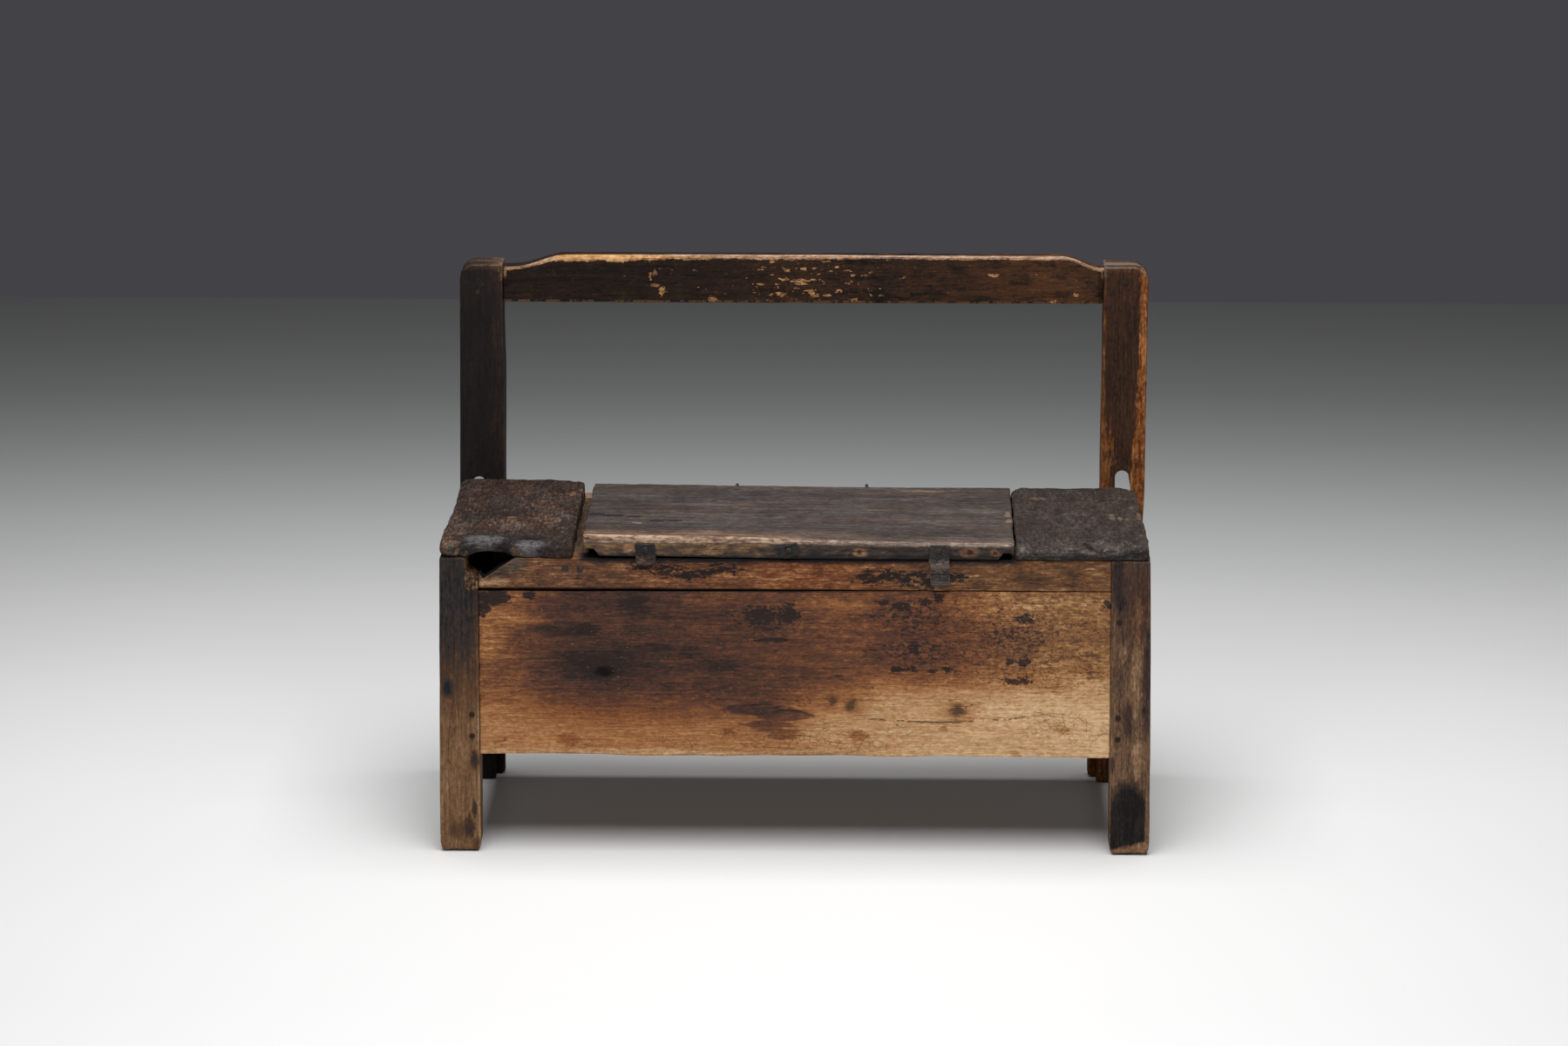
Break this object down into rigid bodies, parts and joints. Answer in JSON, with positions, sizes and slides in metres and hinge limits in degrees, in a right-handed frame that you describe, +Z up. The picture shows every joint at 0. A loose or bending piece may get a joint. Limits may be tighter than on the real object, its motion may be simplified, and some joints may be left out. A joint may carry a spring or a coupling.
{
  "type": "chest bench",
  "caption": "Rustic plank bench with a storage chest under a hinged seat lid, square legs and posts, and a low shaped crest rail behind the seat.",
  "frame": {"origin": "on the floor, under the middle of the bench's box", "axes": "+X along the bench to the right as seen from the front, +Y from front to back, +Z up"},
  "size_m": [1.004, 0.3852, 0.79],
  "materials": {
    "blackened_oak": "smoke-blackened old oak, dull polish on the worn edges",
    "brown_oak": "dark red-brown oak with old finish, rubbed tan at the edges",
    "tan_pine": "worn tan plank under dark clouded stain",
    "grey_seat": "dry grey-brown seat plank, scuffed and dusty",
    "bare_inside": "unfinished aged plank",
    "peg_oak": "dark end grain",
    "old_leather": "stiff cracked black leather",
    "rusty_iron": "hand-forged wrought iron, rust brown"
  },
  "bodies": {
    "frame": {"front_left_leg": "brown_oak", "front_right_leg": "brown_oak", "rear_left_post": "blackened_oak", "rear_right_post": "brown_oak", "crest_rail": "blackened_oak", "front_rail": "brown_oak", "front_panel": "tan_pine", "left_upper_side_board": "brown_oak", "left_lower_side_board": "brown_oak", "right_upper_side_board": "brown_oak", "right_lower_side_board": "brown_oak", "back_rail": "bare_inside", "upper_back_board": "bare_inside", "lower_back_board": "bare_inside", "floor_board_1": "bare_inside", "floor_board_2": "bare_inside", "floor_board_3": "bare_inside", "floor_board_4": "bare_inside", "left_seat_board": "grey_seat", "right_seat_board": "grey_seat", "seat_back_strip": "grey_seat", "left_bearer": "bare_inside", "right_bearer": "bare_inside", "left_crest_peg_upper": "peg_oak", "left_crest_peg_lower": "peg_oak", "right_crest_peg_upper": "peg_oak", "right_crest_peg_lower": "peg_oak", "left_panel_peg_low": "peg_oak", "left_panel_peg_middle": "peg_oak", "left_panel_peg_high": "peg_oak", "right_panel_peg_low": "peg_oak", "right_panel_peg_middle": "peg_oak", "right_panel_peg_high": "peg_oak", "left_side_peg": "peg_oak", "right_side_peg": "peg_oak", "rail_nail_outer": "rusty_iron", "rail_nail_inner": "rusty_iron", "left_lower_back_board_nail": "rusty_iron", "right_lower_back_board_nail": "rusty_iron", "left_upper_back_board_nail": "rusty_iron", "right_upper_back_board_nail": "rusty_iron", "left_back_rail_nail": "rusty_iron", "right_back_rail_nail": "rusty_iron", "left_hinge_staple": "rusty_iron", "right_hinge_staple": "rusty_iron"},
    "lid": {"lid": "grey_seat", "left_hinge_eye": "rusty_iron", "right_hinge_eye": "rusty_iron", "left_strap": "old_leather", "middle_strap": "old_leather", "right_strap": "old_leather", "left_strap_nail": "rusty_iron", "middle_strap_nail": "rusty_iron", "right_strap_nail": "rusty_iron"}
  },
  "joints": [
    {"name": "lid_hinge", "type": "hinge", "parent": "frame", "child": "lid", "pos_m": [0.0055, 0.1086, 0.4578], "axis": [-1, 0, 0], "range_deg": [0, 96]}
  ]
}
